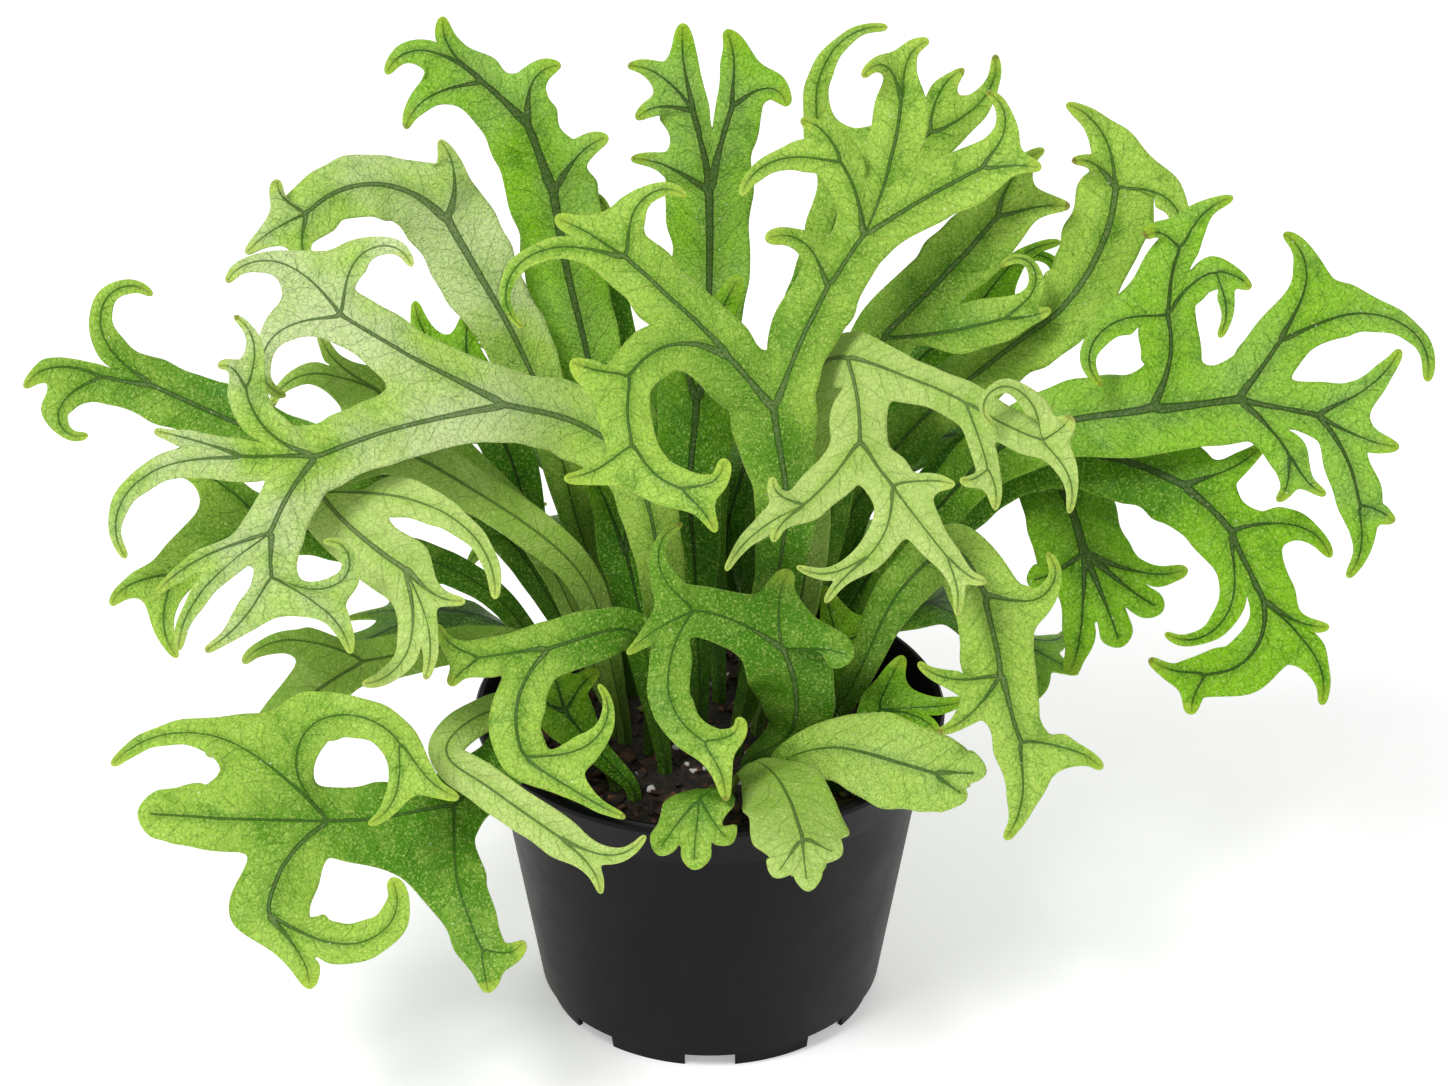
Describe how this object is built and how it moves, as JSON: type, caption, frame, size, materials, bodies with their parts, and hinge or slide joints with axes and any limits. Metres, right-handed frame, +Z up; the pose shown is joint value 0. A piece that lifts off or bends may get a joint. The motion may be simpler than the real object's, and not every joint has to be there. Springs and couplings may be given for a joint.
{
  "type": "potted firework fern",
  "caption": "Fern with forked, hooked strap fronds in a round black nursery pot of bark soil; stands on its foot as a house plant.",
  "frame": {"origin": "bottom centre of the whole plant's box, on the surface that the pot stands on", "axes": "+X to the plant's right as seen from its front, -Y its front, +Z up"},
  "size_m": [0.4368, 0.2404, 0.3131],
  "materials": {
    "pot_plastic": "satin moulded black plastic",
    "bark_soil": "rough dark potting mix of bark chips",
    "fresh_frond": "fresh green leaf with a soft waxy sheen",
    "deep_frond": "deep green leaf with a soft waxy sheen",
    "pale_frond": "pale green underside of a leaf, soft sheen"
  },
  "bodies": {
    "root": {"frond_arch_left": "fresh_frond", "frond_back_centre": "deep_frond", "frond_back_left": "deep_frond", "frond_back_left_inner": "deep_frond", "frond_back_left_low": "deep_frond", "frond_back_right": "deep_frond", "frond_back_right_inner": "deep_frond", "frond_back_right_low": "deep_frond", "frond_behind_left": "fresh_frond", "frond_behind_right": "fresh_frond", "frond_big_left": "fresh_frond", "frond_drooping_right": "fresh_frond", "frond_far_left": "fresh_frond", "frond_far_right": "deep_frond", "frond_fork_centre": "fresh_frond", "frond_grey_left": "pale_frond", "frond_hanging_right": "deep_frond", "frond_high_right": "fresh_frond", "frond_low_left": "fresh_frond", "frond_low_right": "deep_frond", "frond_pale_behind": "pale_frond", "frond_pale_left": "pale_frond", "frond_pale_right": "pale_frond", "frond_ring_front": "fresh_frond", "frond_ring_left": "fresh_frond", "frond_shade_centre": "deep_frond", "frond_shade_left": "deep_frond", "frond_spiral": "deep_frond", "frond_strap_right": "fresh_frond", "frond_strap_rim": "pale_frond", "frond_top_centre": "deep_frond", "frond_top_curl": "fresh_frond", "frond_top_left": "deep_frond", "frond_under_arch": "deep_frond", "leaf_broad_front": "pale_frond", "leaf_broad_right": "fresh_frond", "leaf_dark_left": "deep_frond", "leaf_dark_right": "deep_frond", "leaf_rim_right": "deep_frond", "leaf_small_front": "fresh_frond", "pot": "pot_plastic", "soil": "bark_soil"}
  },
  "joints": []
}
